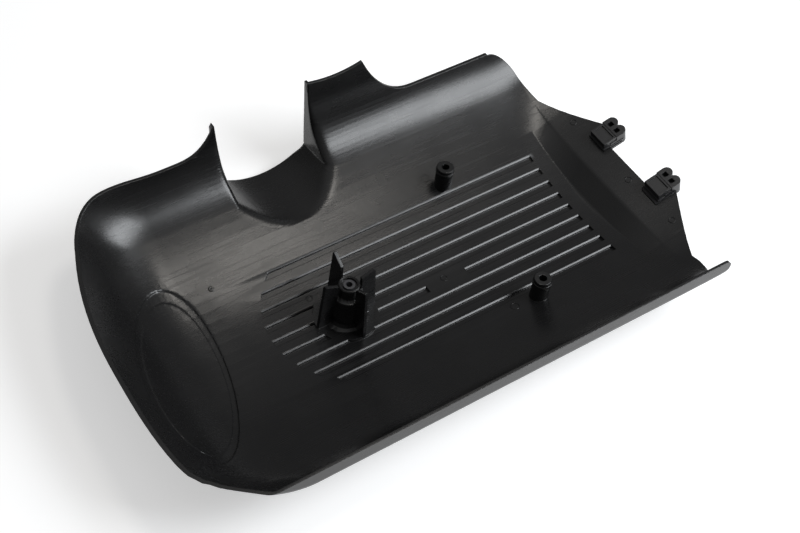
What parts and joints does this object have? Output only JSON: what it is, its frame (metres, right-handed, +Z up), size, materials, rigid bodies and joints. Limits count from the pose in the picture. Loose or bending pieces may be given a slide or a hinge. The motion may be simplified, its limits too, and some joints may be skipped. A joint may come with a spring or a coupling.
{
  "type": "intake manifold shield",
  "caption": "Moulded engine cover: arched ribbed trough with a notch spout in one wall, a finned fixing hub, screw bosses, a plain oval badge pad and push-on clips on its rear apron.",
  "frame": {"origin": "Middle of the bounding box at its bottom, with the part lying on its ribbed outer side and its hollow side up.", "axes": "+X along the ribs towards the rear clips, +Y towards the notched wall, +Z up out of the hollow side."},
  "size_m": [0.5992, 0.358, 0.1093],
  "materials": {
    "shield": "satin black moulded plastic with fine flow streaks",
    "sleeve": "dark coated steel sleeve",
    "clips": "satin black nylon"
  },
  "bodies": {
    "root": {"shield": "shield", "stud_sleeve": "sleeve", "rear_clip_far": "clips", "rear_clip_near": "clips"}
  },
  "joints": []
}
